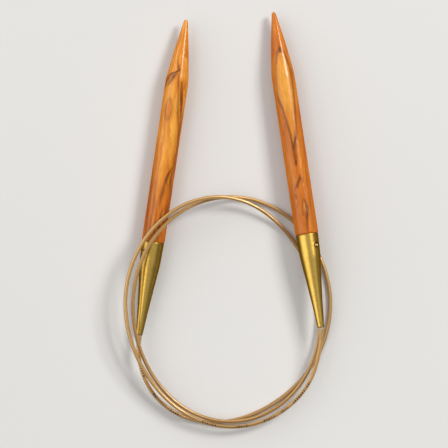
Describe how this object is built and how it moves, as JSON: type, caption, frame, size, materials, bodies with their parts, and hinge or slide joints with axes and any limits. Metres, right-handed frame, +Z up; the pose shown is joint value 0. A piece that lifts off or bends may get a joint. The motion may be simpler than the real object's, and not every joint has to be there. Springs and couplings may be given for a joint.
{
  "type": "circular knitting needle",
  "caption": "Two rigid wooden needle tips with tapered brass ferrules, joined by a long flexible cord lying coiled, for knitting in the round.",
  "frame": {"origin": "under the middle of the whole object's box, on the surface it lies on", "axes": "+Z up, +Y the way both needle points face, +X to the right needle"},
  "size_m": [0.0904, 0.1806, 0.0125],
  "materials": {
    "wood": "polished, clear varnish",
    "brass": "satin, lathe-turned",
    "nylon": "satin, translucent tan"
  },
  "bodies": {
    "left_needle": {"cord_collar_left": "nylon", "cord_stop_left": "brass", "cord_tail_left": "nylon", "ferrule_left": "brass", "needle_shaft_left": "wood"},
    "cord_end_left": {"cord_end_left": "nylon"},
    "cord_segment_01": {"cord_segment_01": "nylon"},
    "cord_segment_02": {"cord_segment_02": "nylon"},
    "cord_segment_03": {"cord_segment_03": "nylon"},
    "cord_segment_04": {"cord_segment_04": "nylon"},
    "cord_segment_05": {"cord_segment_05": "nylon"},
    "cord_segment_06": {"cord_segment_06": "nylon"},
    "cord_segment_07": {"cord_segment_07": "nylon"},
    "cord_segment_08": {"cord_segment_08": "nylon"},
    "cord_segment_09": {"cord_segment_09": "nylon"},
    "cord_segment_10": {"cord_segment_10": "nylon"},
    "cord_segment_11": {"cord_segment_11": "nylon"},
    "cord_end_right": {"cord_end_right": "nylon"},
    "cord_neck_right": {"cord_neck_right": "nylon"},
    "right_needle": {"cord_collar_right": "nylon", "cord_stop_right": "brass", "cord_tail_right": "nylon", "ferrule_right": "brass", "needle_shaft_right": "wood"}
  },
  "joints": [
    {"name": "left_swing", "type": "hinge", "parent": "left_needle", "child": "cord_end_left", "pos_m": [-0.03899, -0.05497, 0.005], "axis": [0, 0, 1], "range_deg": [-30, 0]},
    {"name": "uncoil", "type": "hinge", "parent": "cord_end_left", "child": "cord_segment_01", "pos_m": [-0.03852, -0.06094, 0.005], "axis": [0.0528, -0.3772, -0.9246], "range_deg": [0, 29.81]},
    {"name": "uncoil_02", "type": "hinge", "parent": "cord_segment_01", "child": "cord_segment_02", "pos_m": [-0.00817, -0.08785, 0.00095], "axis": [0.3518, 0.0627, -0.934], "range_deg": [0, 53.14]},
    {"name": "uncoil_03", "type": "hinge", "parent": "cord_segment_02", "child": "cord_segment_03", "pos_m": [0.04336, -0.04634, 0.00095], "axis": [0.0847, 0.4023, -0.9116], "range_deg": [0, 51.76]},
    {"name": "uncoil_04", "type": "hinge", "parent": "cord_segment_03", "child": "cord_segment_04", "pos_m": [0.01592, 0.00725, 0.00103], "axis": [-0.5406, 0.0763, -0.8378], "range_deg": [0, 53.16]},
    {"name": "uncoil_05", "type": "hinge", "parent": "cord_segment_04", "child": "cord_segment_05", "pos_m": [-0.03232, -0.00789, 0.01148], "axis": [-0.4338, -0.2845, -0.8549], "range_deg": [0, 52.49]},
    {"name": "uncoil_06", "type": "hinge", "parent": "cord_segment_05", "child": "cord_segment_06", "pos_m": [-0.02575, -0.0761, 0.00544], "axis": [0.2499, -0.2114, -0.9449], "range_deg": [0, 52.27]},
    {"name": "uncoil_07", "type": "hinge", "parent": "cord_segment_06", "child": "cord_segment_07", "pos_m": [0.02219, -0.08048, 0.00295], "axis": [0.2782, 0.2273, -0.9333], "range_deg": [0, 55.54]},
    {"name": "uncoil_08", "type": "hinge", "parent": "cord_segment_07", "child": "cord_segment_08", "pos_m": [0.03402, -0.01865, 0.001], "axis": [-0.3421, 0.38, -0.8594], "range_deg": [0, 46.76]},
    {"name": "uncoil_09", "type": "hinge", "parent": "cord_segment_08", "child": "cord_segment_09", "pos_m": [-0.01204, 0.00914, 0.01031], "axis": [-0.5331, -0.014, -0.846], "range_deg": [0, 57.07]},
    {"name": "uncoil_10", "type": "hinge", "parent": "cord_segment_09", "child": "cord_segment_10", "pos_m": [-0.04437, -0.03836, 0.01121], "axis": [-0.0636, -0.3718, -0.9261], "range_deg": [0, 48.8]},
    {"name": "uncoil_11", "type": "hinge", "parent": "cord_segment_10", "child": "cord_segment_11", "pos_m": [-0.00285, -0.08931, 0.0054], "axis": [0.401, 0.0356, -0.9154], "range_deg": [0, 55.21]},
    {"name": "uncoil_12", "type": "hinge", "parent": "cord_segment_11", "child": "cord_end_right", "pos_m": [0.03783, -0.06325, 0.00809], "axis": [0.2507, 0.4061, -0.8788], "range_deg": [0, 29.57]},
    {"name": "right_swing", "type": "hinge", "parent": "cord_end_right", "child": "cord_neck_right", "pos_m": [0.03921, -0.05743, 0.00857], "axis": [0, 0, 1], "range_deg": [-30, 0]},
    {"name": "right_lift", "type": "hinge", "parent": "cord_neck_right", "child": "right_needle", "pos_m": [0.0401, -0.05151, 0.0089], "axis": [0.9963, -0.0861, 0], "range_deg": [0, 60]}
  ],
  "couplings": [
    {"joint": "uncoil_02", "follows": "uncoil", "ratio": 1.7824},
    {"joint": "uncoil_03", "follows": "uncoil", "ratio": 1.7362},
    {"joint": "uncoil_04", "follows": "uncoil", "ratio": 1.7832},
    {"joint": "uncoil_05", "follows": "uncoil", "ratio": 1.7605},
    {"joint": "uncoil_06", "follows": "uncoil", "ratio": 1.7533},
    {"joint": "uncoil_07", "follows": "uncoil", "ratio": 1.863},
    {"joint": "uncoil_08", "follows": "uncoil", "ratio": 1.5684},
    {"joint": "uncoil_09", "follows": "uncoil", "ratio": 1.9141},
    {"joint": "uncoil_10", "follows": "uncoil", "ratio": 1.6369},
    {"joint": "uncoil_11", "follows": "uncoil", "ratio": 1.852},
    {"joint": "uncoil_12", "follows": "uncoil", "ratio": 0.99169}
  ]
}
